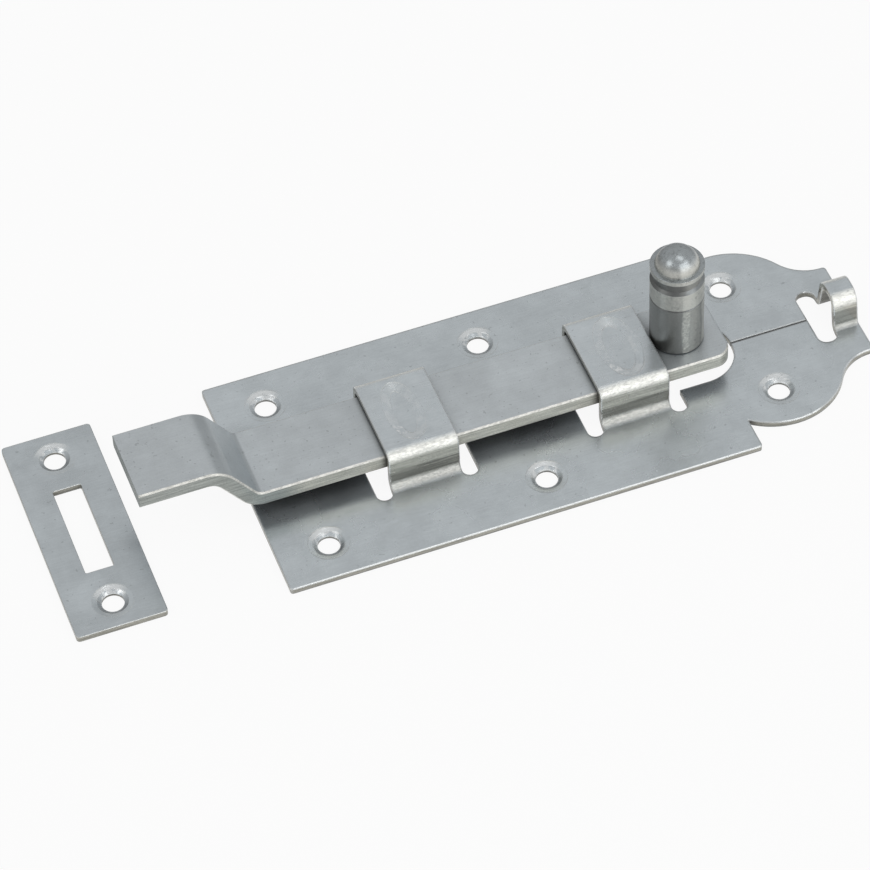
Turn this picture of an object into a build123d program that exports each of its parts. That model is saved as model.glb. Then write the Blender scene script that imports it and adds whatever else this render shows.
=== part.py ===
from build123d import *
from math import atan2, degrees, pi, radians, sqrt, tan
import os

# Cranked barrel bolt, 160 x 65 mm size, with its strike plate. All sizes are in millimetres.
# Origin: the centre of the four front screw holes, on the back face of the base plate.
# +X runs from the tip of the bolt to the padlock staple, +Y across the plate, +Z off the door.

# Sheet and base plate
sheet = 1.5
plate_width = 65.0
plate_length = 115.0  # straight-sided part, front edge to step
plate_corner_r = 0.7
front_margin = 12.5  # front edge to the first pair of screws
screw_pitch_x = 53.0
screw_pitch_y = 45.0
tail_screw_step = 60.0  # second pair of screws to the pair in the tail
tail_screw_pitch = 35.0
seam_width = 0.3  # closed seam along the centreline, where the sheet is drawn in for the straps

# Pressed countersinks
screw_hole_d = 5.2
dimple_d = 9.6
dimple_angle = 120.0
dimple_lip = 1.2  # width of the soft shoulder round the cone

# Ornamental tail
lobe_offset = 11.1  # step to the centres of the lobes
lobe_half_gap = 10.6  # centreline to the centre of each lobe
lobe_r = 17.3
ear_half = 14.3  # half the width across the ears
ear_hollow_r = 10.6
ear_land = 1.0  # straight side of an ear
ear_tip_r = 0.8

# Flat bar of the bolt
bar_width = 20.0
bar_thickness = 4.0
bar_edge_chamfer = 0.4
bar_end_r = 4.0
bar_behind_knob = 10.2
bar_lift = 4.4  # daylight between plate and bar
throw_out = 27.0  # the tip stands this far out past the front edge
crank_rise = 11.3
crank_angle = 55.0
crank_to_edge = 4.1  # middle of the crank to the front edge
crank_head_r = 6.0  # bend radii of the middle of the bar
crank_foot_r = 4.5

# Guide straps
strap_width = 17.0
strap_setback = 31.1  # front edge to the first strap
strap_pitch = 51.9
side_play = 0.9  # bar to the legs
top_play = 0.6  # bar to the underside of the straps
crown_r = 1.75  # bend radii of the middle of the sheet
strap_fold_r = 2.6
relief_width = 3.9  # slots cut beside each strap
relief_reach = 1.3  # the slots run on this far past the folds

# Nibs on the insides of the legs, which carry the bar at its lower corners
nib_length = 9.0
nib_play = 0.3  # lower corners of the bar to the 45 degree ledges of the nibs
nib_reach = 1.3  # in from the inside of the leg
nib_land = 0.8  # height of the flat between the sloping ends

# Oval pressings in the crowns of the front and rear strap
press_widths = [8.8, 10.4]
press_lengths = [18.2, 19.2]
press_shifts = [-0.5, 0.8]  # off the middle of the strap, towards the knob
press_wall = 2.2  # width of the sloping wall
press_depth = 0.6
press_bulge = 0.35

# Window behind the rear strap
window_half = 9.4
window_past_bar = 3.7

# Padlock staple
staple_width = 6.0
staple_height = 10.2
staple_foot_half = 5.2  # outside, at the plate
staple_head_half = 3.9  # outside, at the top
staple_head_r = 2.6
staple_fold_r = 1.75
staple_slot_width = 4.8
staple_slot_half = 8.4
staple_slot_r = 2.2

# Knob
knob_to_strap = 0.5
knob_d = 12.7
knob_foot_chamfer = 0.3
score_up = 14.4  # bar to the fine turned line
score_depth = 0.2
groove_up = 19.6  # bar to the groove
groove_height = 3.3
groove_depth = 0.7
groove_slope = 0.7  # height of the groove's sloping walls
lip_height = 1.2
shoulder_width = 1.1
dome_height = 4.5
tenon_d = 7.0
tenon_play = 0.05
rivet_head_d = 10.0
rivet_head_height = 1.3

# Strike plate, lying ahead of the tip
strike_length = 60.6
strike_width = 21.5
strike_corner_r = 0.9
strike_screw_pitch = 45.5
strike_slot_length = 26.1
strike_slot_width = 6.8
strike_slot_corner_r = 0.4
strike_gap = 0.4  # tip to the edge of the strike plate, seen from above
strike_aside = 2.5  # the strike plate lies this far off the bolt's centreline

# Places along the bolt
front_x = -front_margin - screw_pitch_x / 2
step_x = front_x + plate_length
tail_screw_x = screw_pitch_x / 2 + tail_screw_step
strap_starts = [front_x + strap_setback, front_x + strap_setback + strap_pitch]
knob_x = strap_starts[-1] + strap_width + knob_to_strap + knob_d / 2
bar_end_x = knob_x + bar_behind_knob
tip_x = front_x - throw_out
crank_x = front_x - crank_to_edge
strike_x = tip_x - strike_gap - strike_width / 2

# Heights and half widths. "mid" sizes are those of the middle of the sheet or bar.
sheet_mid = sheet / 2
bar_bottom = sheet + bar_lift
bar_top = bar_bottom + bar_thickness
bar_mid = bar_bottom + bar_thickness / 2
leg_mid = bar_width / 2 + side_play + sheet_mid
crown_inside = bar_top + top_play
crown_mid = crown_inside + sheet_mid
crown_top = crown_inside + sheet
leg_inside = bar_width / 2 + side_play
nib_top = bar_bottom + side_play - nib_play * sqrt(2)


def bent_sheet(half_path, radii):
    """Section of a strap, from the middle of the sheet on one side up to the crown."""
    other_half = [(-y, z) for y, z in reversed(half_path)]
    with BuildSketch() as section:
        with BuildLine() as middle:
            FilletPolyline(*half_path, *other_half, radius=radii + radii[::-1])
        trace(middle.line, line_width=sheet)
    return section.sketch


# Sections of the guide straps, of their nibs and of the staple
strap_fold_y = leg_mid + strap_fold_r
strap_path = [(strap_fold_y + sheet, sheet_mid), (leg_mid, sheet_mid), (leg_mid, crown_mid)]
strap_section = bent_sheet(strap_path, [strap_fold_r, crown_r])

nib_tip = leg_inside - nib_reach
land_bottom = nib_top - nib_reach - nib_land
with BuildSketch() as nib_section:
    with BuildLine():
        Polyline((leg_inside, nib_top), (nib_tip, nib_top - nib_reach), (nib_tip, land_bottom))
        Polyline((nib_tip, land_bottom), (leg_inside, land_bottom - nib_reach), (leg_inside, nib_top))
    make_face()
    mirror(about=Plane.YZ)

staple_foot_mid = staple_foot_half - sheet_mid
staple_head_mid = staple_head_half - sheet_mid
staple_rise = staple_height - sheet
staple_lean = atan2(staple_foot_half - staple_head_half, staple_rise)
staple_fold_y = staple_foot_mid + staple_fold_r * tan((pi / 2 - staple_lean) / 2)
staple_path = [
    (staple_fold_y + sheet, sheet_mid),
    (staple_foot_mid, sheet_mid),
    (staple_head_mid, staple_height - sheet_mid),
]
staple_section = bent_sheet(staple_path, [staple_fold_r, staple_head_r])

# Tail outline: lobe, tangent hollow, straight side of the ear
lobe_x = step_x + lobe_offset
hollow_y = ear_half + ear_hollow_r
hollow_x = lobe_x + sqrt((lobe_r + ear_hollow_r) ** 2 - (hollow_y - lobe_half_gap) ** 2)
tail_end_x = hollow_x + ear_land
staple_x = tail_end_x - staple_width
step_half = lobe_half_gap + sqrt(lobe_r**2 - lobe_offset**2)
lobe_start = degrees(atan2(step_half - lobe_half_gap, -lobe_offset))
lobe_finish = degrees(atan2(hollow_y - lobe_half_gap, hollow_x - lobe_x))

with BuildSketch() as tail_outline:
    with BuildLine():
        Line((step_x, 0), (step_x, step_half))
        CenterArc((lobe_x, lobe_half_gap), lobe_r, lobe_start, lobe_finish - lobe_start)
        CenterArc((hollow_x, hollow_y), ear_hollow_r, 180 + lobe_finish, 90 - lobe_finish)
        Polyline((hollow_x, ear_half), (tail_end_x, ear_half), (tail_end_x, 0), (step_x, 0))
    make_face()
    fillet(tail_outline.vertices().group_by(Axis.X)[-1].sort_by(Axis.Y)[-1], ear_tip_r)
    mirror(about=Plane.XZ)

# Cutter for a pressed countersink: straight hole, cone, soft shoulder
hole_r = screw_hole_d / 2
cone_slope = pi / 2 - radians(dimple_angle / 2)
lip_drop = dimple_lip * tan(cone_slope / 2)
cone_r = dimple_d / 2 - dimple_lip
cone_z = sheet - lip_drop
land_z = cone_z - (cone_r - hole_r) * tan(cone_slope)

with BuildPart() as countersink:
    with BuildSketch(Plane.XZ):
        with BuildLine():
            Polyline((0, -sheet), (hole_r, -sheet), (hole_r, land_z), (cone_r, cone_z))
            Polyline((cone_r, cone_z), (dimple_d / 2, sheet), (dimple_d / 2, 2 * sheet), (0, 2 * sheet), (0, -sheet))
        make_face()
    revolve(axis=Axis.Z)

# Base plate: plate, straps and staple are one sheet
with BuildPart() as base_plate:
    with BuildSketch() as blank:
        with Locations((front_x + plate_length / 2, 0)):
            RectangleRounded(plate_length, plate_width, plate_corner_r)
        add(tail_outline.sketch)
        relief_half = strap_fold_y + relief_reach
        for start in strap_starts:
            with Locations((start + strap_width / 2, 0)):
                Rectangle(strap_width, 2 * strap_fold_y, mode=Mode.SUBTRACT)
            with Locations((start - relief_width / 2, 0), (start + strap_width + relief_width / 2, 0)):
                SlotOverall(2 * relief_half, relief_width, rotation=90, mode=Mode.SUBTRACT)
        window_start = strap_starts[-1] + strap_width
        window_arc_x = bar_end_x + window_past_bar - window_half
        with Locations(((window_start + window_arc_x) / 2, 0)):
            Rectangle(window_arc_x - window_start, 2 * window_half, mode=Mode.SUBTRACT)
        with Locations((window_arc_x, 0)):
            Circle(window_half, mode=Mode.SUBTRACT)
        with Locations((staple_x - staple_slot_width / 2, 0)):
            RectangleRounded(staple_slot_width, 2 * staple_slot_half, staple_slot_r, mode=Mode.SUBTRACT)
        with Locations((staple_x + staple_width / 2, 0)):
            Rectangle(staple_width, 2 * staple_fold_y, mode=Mode.SUBTRACT)
        with Locations(((front_x + staple_x) / 2, 0)):
            Rectangle(staple_x - front_x, seam_width, mode=Mode.SUBTRACT)
    extrude(amount=sheet)
    for start in strap_starts:
        with BuildSketch(Plane.YZ.offset(start)):
            add(strap_section)
        extrude(amount=strap_width)
        with BuildSketch(Plane.YZ.offset(start + (strap_width - nib_length) / 2)):
            add(nib_section.sketch)
        extrude(amount=nib_length)
    for start, width, length, shift in zip(strap_starts, press_widths, press_lengths, press_shifts):
        press_x = start + strap_width / 2 + shift
        press_floor = (width / 2 - press_wall, length / 2 - press_wall)
        for bottom, top, mode in (
            (crown_inside - press_bulge, crown_inside, Mode.ADD),
            (crown_top - press_depth, crown_top, Mode.SUBTRACT),
        ):
            with BuildSketch(Plane.XY.offset(bottom)):
                with Locations((press_x, 0)):
                    Ellipse(*press_floor)
            with BuildSketch(Plane.XY.offset(top)):
                with Locations((press_x, 0)):
                    Ellipse(width / 2, length / 2)
            loft(mode=mode)
    with BuildSketch(Plane.YZ.offset(staple_x)):
        add(staple_section)
    extrude(amount=staple_width)
    with GridLocations(screw_pitch_x, screw_pitch_y, 2, 2):
        add(countersink.part, mode=Mode.SUBTRACT)
    with Locations((tail_screw_x, tail_screw_pitch / 2, 0), (tail_screw_x, -tail_screw_pitch / 2, 0)):
        add(countersink.part, mode=Mode.SUBTRACT)

# Bar, cranked by two bends near the front edge of the plate
crank_run = crank_rise / tan(radians(crank_angle))
bar_head_mid = bar_mid + crank_rise
bar_path = [
    (tip_x, bar_head_mid),
    (crank_x - crank_run / 2, bar_head_mid),
    (crank_x + crank_run / 2, bar_mid),
    (bar_end_x, bar_mid),
]
with BuildPart() as bolt_bar:
    with BuildSketch(Plane.XZ):
        with BuildLine() as bar_middle:
            FilletPolyline(*bar_path, radius=[crank_head_r, crank_foot_r])
        trace(bar_middle.line, line_width=bar_thickness)
    extrude(amount=bar_width / 2, both=True)
    fillet(bolt_bar.edges().filter_by(Axis.Z).group_by(Axis.X)[-1], bar_end_r)
    side_edges = bolt_bar.faces().filter_by(Axis.Y).edges()
    chamfer(side_edges.filter_by(Axis.Z, reverse=True), bar_edge_chamfer)
    with Locations((knob_x, 0, bar_mid)):
        Cylinder(tenon_d / 2 + tenon_play, bar_thickness, mode=Mode.SUBTRACT)

# Knob, turned in one piece with the tenon that is riveted over beneath the bar
knob_r = knob_d / 2
groove_top = groove_up + groove_height
shoulder_up = groove_top + lip_height
dome_r = knob_r - shoulder_width
knob_top = shoulder_up + dome_height
knob_plane = Plane((knob_x, 0, bar_top), x_dir=(1, 0, 0), z_dir=(0, -1, 0))
with BuildPart() as bolt_knob:
    with BuildSketch(knob_plane):
        with BuildLine():
            Polyline(
                (rivet_head_d / 2, -bar_thickness),
                (tenon_d / 2, -bar_thickness),
                (tenon_d / 2, 0),
                (knob_r - knob_foot_chamfer, 0),
                (knob_r, knob_foot_chamfer),
                (knob_r, score_up - score_depth),
                (knob_r - score_depth, score_up),
                (knob_r, score_up + score_depth),
                (knob_r, groove_up),
                (knob_r - groove_depth, groove_up + groove_slope),
                (knob_r - groove_depth, groove_top - groove_slope),
                (knob_r, groove_top),
                (knob_r, shoulder_up),
                (dome_r, shoulder_up),
            )
            TangentArc((0, knob_top), (dome_r, shoulder_up), tangent=(1, 0))
            Polyline(
                (0, knob_top),
                (0, -bar_thickness - rivet_head_height),
                (rivet_head_d / 2 - rivet_head_height, -bar_thickness - rivet_head_height),
                (rivet_head_d / 2, -bar_thickness),
            )
        make_face()
    revolve(axis=Axis((knob_x, 0, 0), (0, 0, 1)))

# Strike plate
with BuildPart() as strike_plate:
    with BuildSketch():
        with Locations((strike_x, strike_aside)):
            RectangleRounded(strike_width, strike_length, strike_corner_r)
            RectangleRounded(strike_slot_width, strike_slot_length, strike_slot_corner_r, mode=Mode.SUBTRACT)
    extrude(amount=sheet)
    with Locations((strike_x, strike_aside, 0)):
        with GridLocations(0, strike_screw_pitch, 1, 2):
            add(countersink.part, mode=Mode.SUBTRACT)

base_plate.part.label = "base_plate"
bolt_bar.part.label = "bolt_bar"
bolt_knob.part.label = "bolt_knob"
strike_plate.part.label = "strike_plate"

os.makedirs("parts", exist_ok=True)
export_step(base_plate.part, "parts/base_plate.step")
export_step(bolt_bar.part, "parts/bolt_bar.step")
export_step(bolt_knob.part, "parts/bolt_knob.step")
export_step(strike_plate.part, "parts/strike_plate.step")
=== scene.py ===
from math import cos, radians, sin

import bpy
from mathutils import Matrix, Vector

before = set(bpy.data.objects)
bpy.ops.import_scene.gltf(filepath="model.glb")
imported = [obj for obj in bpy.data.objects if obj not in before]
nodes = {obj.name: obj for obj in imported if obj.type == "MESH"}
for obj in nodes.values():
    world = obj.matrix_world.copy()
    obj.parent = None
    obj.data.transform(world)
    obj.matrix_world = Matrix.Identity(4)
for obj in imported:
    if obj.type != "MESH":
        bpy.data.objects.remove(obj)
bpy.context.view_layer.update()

MM = 0.001

# Camera, as fitted to the photograph. Azimuth and elevation are where it stands, seen from the target.
IMAGE_SIDE = 870
FOCAL_PIXELS = 4167.9
SENSOR_MM = 36.0
CAMERA_TARGET = Vector((7.52, 0.25, 0.0)) * MM
CAMERA_DISTANCE = 967.2 * MM
CAMERA_AZIMUTH = radians(17.92)
CAMERA_ELEVATION = radians(48.55)
CAMERA_ROLL = radians(-3.09)
NEAREST_SEEN = 0.05
FARTHEST_SEEN = 20.0

# Heights and places on the model, in millimetres
SHEET_TOP = 1.5
BAR_BOTTOM = 5.9
BAR_TOP = 9.9
CROWN_MIDDLE = BAR_TOP + 0.9
KNOB_X = 67.85
CRANK_FOOT_X = -30.0
SCORE = BAR_TOP + 14.4
GROOVE_BOTTOM = BAR_TOP + 19.6
GROOVE_TOP = GROOVE_BOTTOM + 3.3

# Studio: brightness of what the metal reflects, and the lamps as place, size and watts, in metres
HORIZON_FRONT = 1.0
HORIZON_BEHIND = 0.45
CEILING = 0.53
FLOOR_HALF_SIDE = 3.0
FLOOR_DROP = 0.1 * MM  # keeps the floor clear of the back of the plate
FLOOR_BEHIND = 0.35
FLOOR_GLOW_SHARE = 0.92
LAMPS = {
    "left": ((-0.85, -0.15, 0.85), (0.55, 0.55), 1.15),
    "front": ((0.45, -0.90, 0.60), (1.1, 0.8), 3.3),
    "above": ((0.25, -0.15, 1.15), (0.35, 0.60), 0.8),
}

# Colours
ZINC_TOP = (0.68, 0.735, 0.765)
# Side colour: painted shade, a darker, warmer copy of the top colour for faces turned away from up
ZINC_SIDE_SHADE = (0.44, 0.433, 0.382)
# Bend colour: painted highlight, paler than the top
ZINC_BEND_HIGHLIGHT = (0.90, 0.905, 0.86)
STRIKE_TOP = tuple(0.94 * channel for channel in ZINC_TOP)
BAR_TOP_COLOUR = (0.65, 0.695, 0.72)
# Bar side colours: painted shade behind the crank, and a darker, greyer painted shade ahead of it
BAR_SIDE_SHADE = (0.55, 0.54, 0.48)
BAR_TIP_SIDE_SHADE = (0.355, 0.376, 0.356)
# Bar bend colour: painted highlight
BAR_BEND_HIGHLIGHT = (0.69, 0.69, 0.65)
# Bar slope colour: painted shade on the slope of the crank
BAR_SLOPE_SHADE = (0.475, 0.515, 0.535)
# Knob light and dark colours: the ends of the painted reflection bands up its side; the light one also
# colours the collar
KNOB_LIGHT = (0.56, 0.56, 0.52)
KNOB_DARK = (0.19, 0.195, 0.19)
# Knob dome colour: painted light on faces turned up
KNOB_HEAD_LIT = (0.44, 0.475, 0.49)
GLINT = (0.93, 0.96, 0.97)

# Surface
EDGE_TURN = 3.0  # the normal at an edge turns this many times as far as its round alone would turn it
EDGE_TURN_LIMIT = 0.9
BUMP_DEPTH = 0.05 * MM
ZINC_METALLIC = 0.8
BEND_ROUGHNESS = 0.36
GLINT_ROUGHNESS = 0.16
KNOB_METALLIC = 0.85
KNOB_EDGE_RADIUS = 0.15


def add_camera():
    """Places the camera at the photograph's viewing angle."""
    azimuth, elevation, roll = CAMERA_AZIMUTH, CAMERA_ELEVATION, CAMERA_ROLL
    back = Vector((-sin(azimuth) * cos(elevation), -cos(azimuth) * cos(elevation), sin(elevation)))
    level_right = Vector((cos(azimuth), -sin(azimuth), 0))
    level_up = back.cross(level_right)
    right = level_right * cos(roll) + level_up * sin(roll)
    up = level_up * cos(roll) - level_right * sin(roll)
    data = bpy.data.cameras.new("camera")
    data.sensor_width = SENSOR_MM
    data.lens = FOCAL_PIXELS / IMAGE_SIDE * SENSOR_MM
    data.clip_start = NEAREST_SEEN
    data.clip_end = FARTHEST_SEEN
    camera = bpy.data.objects.new("camera", data)
    turn = Matrix((right, up, back)).transposed().to_4x4()
    camera.matrix_world = Matrix.Translation(CAMERA_TARGET + back * CAMERA_DISTANCE) @ turn
    bpy.context.scene.collection.objects.link(camera)
    bpy.context.scene.camera = camera


class NodeTree:
    """A node tree with short calls to add, set and join its nodes."""

    def __init__(self, owner):
        owner.use_nodes = True
        self.tree = owner.node_tree
        self.tree.nodes.clear()

    def add(self, kind, inputs=None, **settings):
        """Adds a node. inputs maps a socket's name or number to a value or to another node's output."""
        node = self.tree.nodes.new(kind)
        for name, value in settings.items():
            setattr(node, name, value)
        for socket, value in (inputs or {}).items():
            if isinstance(value, bpy.types.NodeSocket):
                self.tree.links.new(value, node.inputs[socket])
            else:
                node.inputs[socket].default_value = value
        return node

    def math(self, operation, first, second=0.0, third=0.0):
        return self.add("ShaderNodeMath", {0: first, 1: second, 2: third}, operation=operation).outputs[0]

    def product(self, *factors):
        result = factors[0]
        for factor in factors[1:]:
            result = self.math("MULTIPLY", result, factor)
        return result

    def vector(self, operation, *vectors):
        """Vector arithmetic. The result is outputs[0], or outputs["Value"] for a length."""
        return self.add("ShaderNodeVectorMath", dict(enumerate(vectors)), operation=operation).outputs

    def stretch(self, vector, factors):
        return self.vector("MULTIPLY", vector, factors)[0]

    def shift(self, vector, amounts):
        return self.vector("ADD", vector, amounts)[0]

    def scaled(self, colour, factor):
        return self.add("ShaderNodeVectorMath", {0: colour, 3: factor}, operation="SCALE").outputs[0]

    def split(self, vector):
        return self.add("ShaderNodeSeparateXYZ", {0: vector}).outputs

    def mix(self, share, first, second):
        """Colour first at share 0 and second at share 1. Each is a node's output or three numbers."""
        node = self.add("ShaderNodeMix", {0: share}, data_type="RGBA")
        for socket, value in ((6, first), (7, second)):
            if isinstance(value, bpy.types.NodeSocket):
                self.tree.links.new(value, node.inputs[socket])
            else:
                node.inputs[socket].default_value = (*value, 1.0)
        return node.outputs[2]

    def noise(self, vector, scale, detail=2.0, roughness=0.5, distortion=0.0):
        inputs = {
            "Vector": vector, "Scale": scale, "Detail": detail,
            "Roughness": roughness, "Distortion": distortion,
        }
        return self.add("ShaderNodeTexNoise", inputs).outputs[0]

    def ramp(self, value, low, high, bottom=0.0, top=1.0):
        """value from low to high becomes bottom to top, smoothly, and stays there outside."""
        inputs = {0: value, 1: low, 2: high, 3: bottom, 4: top}
        return self.add("ShaderNodeMapRange", inputs, interpolation_type="SMOOTHSTEP").outputs[0]

    def band(self, value, low, high, soft):
        """1 between low and high, 0 outside, with edges soft wide."""
        rise = self.ramp(value, low - soft / 2, low + soft / 2)
        fall = self.ramp(value, high - soft / 2, high + soft / 2, 1.0, 0.0)
        return self.product(rise, fall)

    def place_mm(self):
        """Position on the object, in millimetres."""
        return self.stretch(self.add("ShaderNodeTexCoord").outputs["Object"], (1 / MM, 1 / MM, 1 / MM))

    def face_normal(self):
        """The normal of the mesh's own faces, as x, y and z."""
        return self.split(self.add("ShaderNodeNewGeometry").outputs["True Normal"])

    def scratches(self, place, turn, thickness, gap):
        """Thin scattered scratches at an angle in the plane of the sheet, 1 on a scratch and 0 off it."""
        along = self.add("ShaderNodeMapping", {0: place, 2: (0, 0, radians(turn))}).outputs[0]
        lines = self.noise(self.stretch(along, (0.035, 1 / gap, 0.3)), 1.0, detail=0.0, distortion=0.3)
        off_line = self.math("ABSOLUTE", self.math("SUBTRACT", lines, 0.5))
        line = self.ramp(off_line, 0.0, thickness, 1.0, 0.0)
        patches = self.noise(self.shift(place, (7.0 * gap, 3.0, 5.0)), 0.06, detail=1.0)
        return self.product(line, self.ramp(patches, 0.52, 0.60))

    def crevice_shade(self, reach, darkest):
        """Painted shade: 1 in the open, down to darkest deep in a fold, a corner or a narrow gap."""
        open_share = self.add("ShaderNodeAmbientOcclusion", {"Distance": reach * MM}, samples=8).outputs[1]
        return self.ramp(open_share, 0.10, 0.80, darkest, 1.0)

    def rounded(self, radius):
        """Normal with the edges rounded off by radius, in millimetres, and 1 along those edges."""
        soft = self.add("ShaderNodeBevel", {"Radius": radius * MM}, samples=4).outputs[0]
        plain = self.add("ShaderNodeNewGeometry").outputs["Normal"]
        change = self.vector("SUBTRACT", soft, plain)[0]
        size = self.vector("LENGTH", change)["Value"]
        wanted = self.math("MINIMUM", self.math("MULTIPLY", size, EDGE_TURN), EDGE_TURN_LIMIT)
        turn = self.scaled(change, self.math("DIVIDE", wanted, self.math("MAXIMUM", size, 0.001)))
        normal = self.vector("NORMALIZE", self.shift(plain, turn))[0]
        return normal, self.ramp(size, 0.12, 0.35)

    def finish(self, colour, roughness, height, metallic, edges, bump_strength=0.25):
        """Metal shader over a normal with rounded edges."""
        inputs = {"Strength": bump_strength, "Distance": BUMP_DEPTH, "Height": height, "Normal": edges}
        bump = self.add("ShaderNodeBump", inputs).outputs[0]
        inputs = {"Base Color": colour, "Metallic": metallic, "Roughness": roughness, "Normal": bump}
        shader = self.add("ShaderNodeBsdfPrincipled", inputs)
        self.add("ShaderNodeOutputMaterial", {0: shader.outputs[0]})


def countersinks(tree, place):
    """Three shares: 1 on the cones of the screw holes, their painted shade, darkest where a cone faces back,
    and 1 where cone and shoulder face the front and take a painted highlight."""
    _, across, up = tree.face_normal()
    below = tree.ramp(tree.split(place)[2], SHEET_TOP - 0.03, SHEET_TOP - 0.01, 1.0, 0.0)
    cone = tree.product(tree.band(up, 0.78, 0.93, 0.01), below)
    shoulder = tree.product(tree.band(up, 0.93, 0.992, 0.01), below)
    flecks = tree.ramp(tree.noise(place, 0.75, detail=3.0, roughness=0.55), 0.42, 0.56)
    bright = tree.math("ADD", shoulder, tree.product(cone, flecks))
    bright = tree.product(bright, tree.ramp(across, -0.24, -0.08, 1.0, 0.0))
    return cone, tree.ramp(across, -0.1, 0.4, 0.85, 0.50), bright


def crown_rims(tree, place):
    """Share of glint on the sloping walls of the pressings in the crowns, most where a wall faces back and
    to the knob."""
    along, across, up = tree.face_normal()
    above = tree.ramp(tree.split(place)[2], CROWN_MIDDLE - 0.1, CROWN_MIDDLE + 0.1)
    wall = tree.product(tree.band(up, 0.955, 0.998, 0.01), above)
    broken = tree.ramp(tree.noise(place, 0.35, detail=4.0, roughness=0.65), 0.42, 0.62, 0.0, 0.30)
    facing = tree.product(tree.ramp(along, 0.06, 0.18), tree.ramp(across, 0.0, 0.10))
    glints = tree.ramp(tree.noise(place, 0.9, detail=3.0, roughness=0.6), 0.50, 0.60)
    return tree.product(wall, tree.math("MAXIMUM", broken, tree.product(facing, glints)))


def seam_shade(tree, place):
    """Darker along the closed seam on the centreline of the flat sheet."""
    _, beside, height = tree.split(place)
    seam = tree.ramp(tree.math("ABSOLUTE", beside), 0.30, 0.50, 1.0, 0.0)
    seam = tree.product(seam, tree.ramp(height, SHEET_TOP + 0.1, SHEET_TOP + 0.3, 1.0, 0.0))
    return tree.math("MULTIPLY_ADD", seam, -0.50, 1.0)


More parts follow.
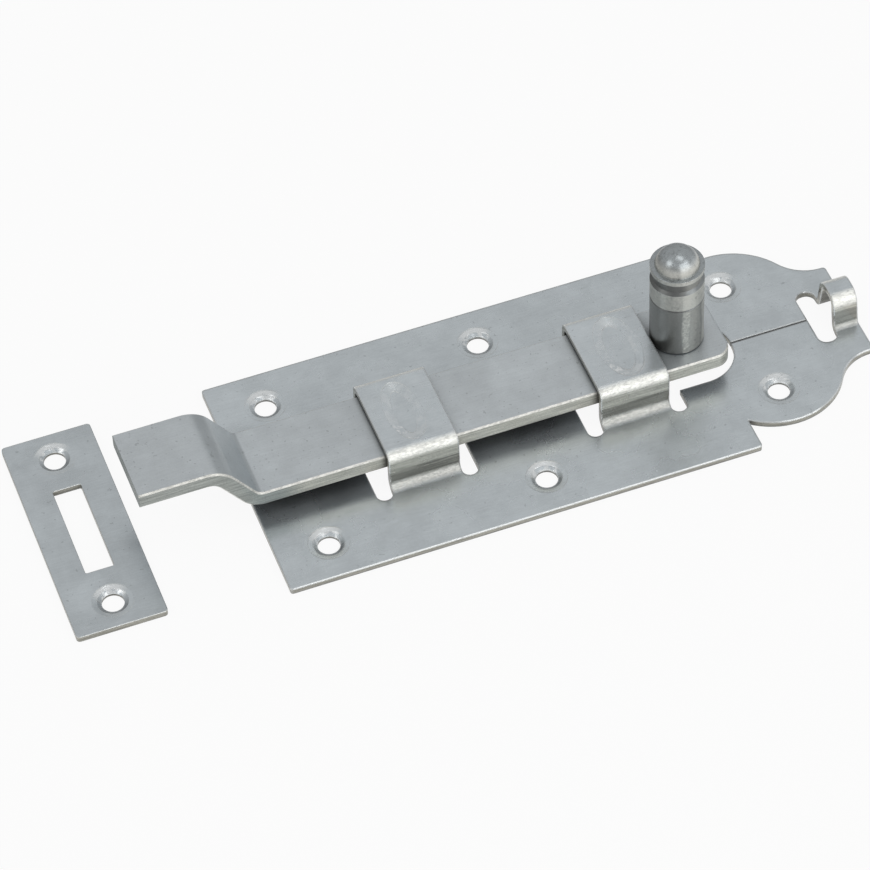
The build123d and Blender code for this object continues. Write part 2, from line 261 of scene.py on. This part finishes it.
def zinc(
    name, top, side, bend_highlight, polish, radius, edge_light,
    slope=None, tip_side=None, formed=False, cloud_depth=0.05, pits=0.72,
):
    """Zinc-plated sheet or bar: faintly clouded satin faces, side faces with drawn streaks in a darker,
    warmer colour that is painted shade, bends paler as a painted highlight, pits and scratches.

    polish is the roughness of the faces, radius that of the edges in millimetres, and edge_light how bright
    the painted highlight along the edges is. slope is the painted shade on faces that slope along the bolt
    and tip_side the painted shade on the side faces ahead of the crank. formed is for the pressed sheet, with
    its straps and seam. A pit shows where its noise is above pits.
    """
    material = bpy.data.materials.new(name)
    tree = NodeTree(material)
    place = tree.place_mm()
    along, _, height = tree.split(place)
    edges, at_edge = tree.rounded(radius)
    _, across, up = tree.split(edges)
    across = tree.math("ABSOLUTE", across)
    level = tree.math("ABSOLUTE", up)
    flat = tree.ramp(level, 0.45, 0.85)
    sloped = tree.product(tree.ramp(level, 0.10, 0.35), tree.ramp(level, 0.90, 0.985, 1.0, 0.0))

    # Textures
    clouds = tree.noise(place, 0.07, detail=4.0, roughness=0.55)
    patches = tree.noise(tree.shift(place, (31.0, 17.0, 3.0)), 0.22, detail=5.0, roughness=0.6)
    grain = tree.noise(tree.stretch(place, (0.16, 2.6, 2.6)), 1.0, detail=3.0, roughness=0.6)
    fine = tree.noise(place, 2.8, detail=3.0, roughness=0.7)
    drawn = tree.noise(tree.stretch(place, (0.09, 1.0, 2.4)), 1.0, detail=4.0, roughness=0.7)
    bend_mottle = tree.noise(tree.stretch(place, (0.9, 2.2, 2.2)), 1.0, detail=4.0, roughness=0.75)
    specks = tree.ramp(tree.noise(place, 1.1, detail=1.0), pits, pits + 0.04)
    wide_marks = tree.scratches(place, 14.0, 0.012, 1.1)
    thin_marks = tree.scratches(place, -38.0, 0.010, 1.6)
    marks = tree.product(tree.math("MAXIMUM", wide_marks, thin_marks), flat)

    # Faces
    shade = tree.product(
        tree.ramp(clouds, 0.3, 0.7, 1.0 - cloud_depth, 1.0 + cloud_depth),
        tree.ramp(patches, 0.3, 0.7, 0.965, 1.035),
        tree.ramp(grain, 0.25, 0.75, 0.97, 1.03),
        tree.ramp(fine, 0.3, 0.7, 0.97, 1.03),
    )
    face = tree.scaled(top, shade)

    # Side faces take the side colour, painted shade, and are darker between the sheet and the bar on the legs
    # of the straps
    side_shade = tree.product(tree.ramp(drawn, 0.35, 0.65, 0.72, 1.18), tree.ramp(fine, 0.3, 0.7, 0.85, 1.12))
    bend_shade = tree.ramp(bend_mottle, 0.35, 0.65, 0.72, 1.12)
    if formed:
        wavy_height = tree.math("MULTIPLY_ADD", drawn, 2.4, height)
        # Painted shade on the legs of the straps, in a wavy band between the sheet and the bar
        leg_shade = tree.band(wavy_height, SHEET_TOP + 2.2, BAR_BOTTOM + 1.6, 1.0)
        side_shade = tree.product(side_shade, tree.math("MULTIPLY_ADD", leg_shade, -0.52, 1.0))
        # The painted highlight on the bends fades towards the foot of each strap
        foot_shade = tree.ramp(wavy_height, SHEET_TOP + 1.6, SHEET_TOP + 4.0, 0.68, 1.0)
        bend_shade = tree.product(bend_shade, foot_shade)
    sides = tree.scaled(side, side_shade)
    # Ahead of the crank the side faces take a darker, greyer painted shade
    if tip_side:
        tip = tree.ramp(along, CRANK_FOOT_X - 4.0, CRANK_FOOT_X + 4.0, 1.0, 0.0)
        sides = tree.mix(tip, sides, tree.scaled(tip_side, side_shade))
    colour = tree.mix(flat, sides, face)

    # Painted highlight on the bends, and painted shade on the slope of the crank
    bends = tree.product(sloped, tree.ramp(across, 0.10, 0.30))
    colour = tree.mix(bends, colour, tree.scaled(bend_highlight, bend_shade))
    if slope:
        slopes = tree.product(sloped, tree.ramp(across, 0.05, 0.20, 1.0, 0.0))
        colour = tree.mix(slopes, colour, tree.scaled(slope, shade))

    # Painted shade and painted highlights in the screw holes, painted highlights on the pressings and edges,
    # and the darker seam
    cone, cone_shade, bright = countersinks(tree, place)
    colour = tree.mix(cone, colour, tree.scaled(top, cone_shade))
    bright = tree.math("MAXIMUM", bright, tree.product(at_edge, edge_light))
    if formed:
        bright = tree.math("MAXIMUM", bright, crown_rims(tree, place))
    colour = tree.mix(bright, colour, GLINT)
    if formed:
        colour = tree.scaled(colour, seam_shade(tree, place))

    # Pits and scratches, painted shade in folds, corners and gaps with the bar's painted shadow on the sheet,
    # and painted shade on faces that face down
    pit_colour = tuple(0.4 * channel for channel in top)
    mark_colour = tuple(min(1.0, 1.18 * channel) for channel in top)
    colour = tree.mix(tree.math("MULTIPLY", specks, 0.35), colour, pit_colour)
    colour = tree.mix(tree.math("MULTIPLY", marks, 0.22), colour, mark_colour)
    # Painted shade on faces that face down
    underside_shade = tree.ramp(up, -0.9, -0.5, 0.30, 1.0)
    colour = tree.scaled(colour, tree.product(tree.crevice_shade(9.0, 0.20), underside_shade))

    rough = tree.ramp(clouds, 0.3, 0.7, polish, polish + 0.10)
    rough = tree.math("MULTIPLY_ADD", bends, BEND_ROUGHNESS - polish, rough)
    rough = tree.math("MULTIPLY_ADD", bright, tree.math("SUBTRACT", GLINT_ROUGHNESS, rough), rough)
    bumps = tree.math("MULTIPLY_ADD", fine, 0.5, tree.product(grain, 0.5))
    bumps = tree.math("MULTIPLY_ADD", marks, -0.5, bumps)
    tree.finish(colour, rough, bumps, ZINC_METALLIC, edges)
    return material


def turned_steel(name, light, dark, lit_head):
    """Turned and plated knob: turning rings, painted shade in the groove, painted reflections as darker and
    lighter bands up its side, and a paler dome that is painted light.
    """
    material = bpy.data.materials.new(name)
    tree = NodeTree(material)
    about = tree.shift(tree.place_mm(), (-KNOB_X, 0, 0))
    x, y, height = tree.split(about)
    edges, _ = tree.rounded(KNOB_EDGE_RADIUS)
    flat = tree.ramp(tree.math("ABSOLUTE", tree.split(edges)[2]), 0.35, 0.75)

    # Textures
    rings = tree.noise(tree.stretch(about, (0.05, 0.05, 5.0)), 1.0, detail=3.0, roughness=0.7)
    mottle = tree.noise(about, 1.3, detail=5.0, roughness=0.65)
    fine = tree.noise(about, 3.4, detail=3.0, roughness=0.7)
    speckled = tree.ramp(tree.noise(about, 1.8, detail=3.0, roughness=0.7), 0.40, 0.60, 0.30, 0.75)
    worn = tree.ramp(tree.noise(about, 0.7, detail=4.0, roughness=0.7), 0.56, 0.66)

    # Painted reflections: bands up the side, by their angle from the front, a little wavy
    angle = tree.math("ARCTAN2", x, tree.math("MULTIPLY", y, -1.0))
    sway = tree.noise(tree.stretch(about, (0.25, 0.25, 0.10)), 1.0, detail=3.0)
    angle = tree.math("MULTIPLY_ADD", tree.math("SUBTRACT", sway, 0.5), 0.30, angle)
    streak_reflection = tree.band(angle, radians(-10), radians(6), 0.12)
    right = tree.band(angle, radians(6), radians(38), 0.20)
    rim_reflection = tree.band(angle, radians(42), radians(85), 0.12)
    left = tree.band(angle, radians(-66), radians(-42), 0.12)
    lightness = tree.math("MULTIPLY_ADD", right, 0.36, 0.11)
    lightness = tree.math("MULTIPLY_ADD", left, -0.07, lightness)
    lightness = tree.math("MULTIPLY_ADD", rim_reflection, 0.70, lightness)
    lightness = tree.math("MULTIPLY_ADD", streak_reflection, speckled, lightness)

    # Brighter collar above the scored line, and upward faces such as the dome paler, painted light
    collar = tree.ramp(height, SCORE, SCORE + 0.3)
    lightness = tree.math("ADD", lightness, tree.math("MULTIPLY", collar, 0.60))
    lightness = tree.math("MAXIMUM", lightness, tree.product(flat, 0.95))
    lightness = tree.math("MULTIPLY", lightness, tree.ramp(mottle, 0.3, 0.7, 0.76, 1.20))
    colour = tree.mix(lightness, dark, tree.mix(flat, light, lit_head))

    # Painted shade in the groove and the scored line, stronger towards -x, wear, and painted shade in the
    # corners
    groove = tree.band(height, GROOVE_BOTTOM, GROOVE_TOP - 0.1, 0.1)
    scored = tree.band(height, SCORE - 0.25, SCORE + 0.25, 0.1)
    grooved = tree.math("MAXIMUM", groove, scored)
    groove_shade = tree.product(grooved, tree.ramp(angle, radians(-12), radians(12), 0.92, 0.55))
    colour = tree.mix(groove_shade, colour, tuple(0.7 * channel for channel in dark))
    colour = tree.mix(tree.math("MULTIPLY", worn, 0.35), colour, tuple(0.75 * channel for channel in dark))
    corner_shade = tree.product(tree.crevice_shade(0.9, 0.45), tree.ramp(fine, 0.3, 0.7, 0.94, 1.06))
    colour = tree.scaled(colour, corner_shade)

    rough = tree.math("MULTIPLY_ADD", flat, -0.10, tree.ramp(mottle, 0.3, 0.7, 0.30, 0.42))
    rough = tree.math("MULTIPLY_ADD", grooved, 0.08, rough)
    bumps = tree.math("MULTIPLY_ADD", fine, 0.4, tree.product(rings, 0.6))
    tree.finish(colour, rough, bumps, KNOB_METALLIC, edges, bump_strength=0.3)
    return material


def dress(node, material):
    """Gives a CAD node its material."""
    slots = nodes[node].data.materials
    slots.clear()
    slots.append(material)


def add_floor():
    """Pale floor that stays near white and keeps a soft shadow. Metal sees it greyer behind the bolt."""
    side = FLOOR_HALF_SIDE
    mesh = bpy.data.meshes.new("floor")
    corners = [(-side, -side, 0), (side, -side, 0), (side, side, 0), (-side, side, 0)]
    mesh.from_pydata(corners, [], [(0, 1, 2, 3)])
    floor = bpy.data.objects.new("floor", mesh)
    floor.location.z = -FLOOR_DROP
    bpy.context.scene.collection.objects.link(floor)

    material = bpy.data.materials.new("floor")
    tree = NodeTree(material)
    rays = tree.add("ShaderNodeLightPath").outputs
    seen = tree.math("MAXIMUM", rays["Is Camera Ray"], rays["Is Glossy Ray"])
    seen = tree.math("MAXIMUM", seen, rays["Is Transmission Ray"])
    across = tree.split(tree.add("ShaderNodeTexCoord").outputs["Object"])[1]
    reflected = tree.ramp(across, 0.0, 0.15, 1.0, FLOOR_BEHIND)
    level = tree.math("MAXIMUM", reflected, rays["Is Camera Ray"])
    matt = tree.add("ShaderNodeBsdfDiffuse", {0: (0.8, 0.8, 0.8, 1)})
    glow = tree.add("ShaderNodeEmission", {0: (1, 1, 1, 1), 1: level})
    share = tree.math("MULTIPLY", seen, FLOOR_GLOW_SHARE)
    both = tree.add("ShaderNodeMixShader", {0: share, 1: matt.outputs[0], 2: glow.outputs[0]})
    tree.add("ShaderNodeOutputMaterial", {0: both.outputs[0]})
    mesh.materials.append(material)


def add_world():
    """White horizon in front, grey behind and a grey ceiling: something for metal to reflect."""
    world = bpy.data.worlds.new("studio")
    bpy.context.scene.world = world
    tree = NodeTree(world)
    _, across, up = tree.split(tree.add("ShaderNodeTexCoord").outputs["Generated"])
    horizon = tree.ramp(across, -0.3, 0.4, HORIZON_FRONT, HORIZON_BEHIND)
    ceiling_share = tree.ramp(up, 0.08, 0.42)
    level = tree.math("MULTIPLY_ADD", ceiling_share, tree.math("SUBTRACT", CEILING, horizon), horizon)
    grey = tree.add("ShaderNodeCombineColor", {0: level, 1: level, 2: level}).outputs[0]
    back = tree.add("ShaderNodeBackground", {0: grey, 1: 1.0})
    tree.add("ShaderNodeOutputWorld", {0: back.outputs[0]})


def add_softbox(name, place, size, watts):
    """Rectangular area lamp at place, facing the origin."""
    data = bpy.data.lights.new(name, "AREA")
    data.shape = "RECTANGLE"
    data.size, data.size_y = size
    data.energy = watts
    lamp = bpy.data.objects.new(name, data)
    lamp.location = place
    lamp.rotation_mode = "QUATERNION"
    lamp.rotation_quaternion = (-Vector(place)).to_track_quat("-Z", "Y")
    bpy.context.scene.collection.objects.link(lamp)


add_camera()
add_world()
add_floor()
for lamp_name, lamp_settings in LAMPS.items():
    add_softbox(lamp_name, *lamp_settings)

dress("base_plate", zinc(
    "zinc_sheet", ZINC_TOP, ZINC_SIDE_SHADE, ZINC_BEND_HIGHLIGHT, polish=0.22, radius=0.6, edge_light=0.9,
    formed=True,
))
dress("strike_plate", zinc(
    "zinc_strike", STRIKE_TOP, ZINC_SIDE_SHADE, ZINC_BEND_HIGHLIGHT, polish=0.26, radius=0.3, edge_light=0.5,
    cloud_depth=0.08,
))
dress("bolt_bar", zinc(
    "zinc_bar", BAR_TOP_COLOUR, BAR_SIDE_SHADE, BAR_BEND_HIGHLIGHT, polish=0.34, radius=0.12, edge_light=0.0,
    slope=BAR_SLOPE_SHADE, tip_side=BAR_TIP_SIDE_SHADE, pits=0.69,
))
dress("bolt_knob", turned_steel("turned_steel", KNOB_LIGHT, KNOB_DARK, KNOB_HEAD_LIT))

bpy.context.scene.view_settings.view_transform = "Standard"
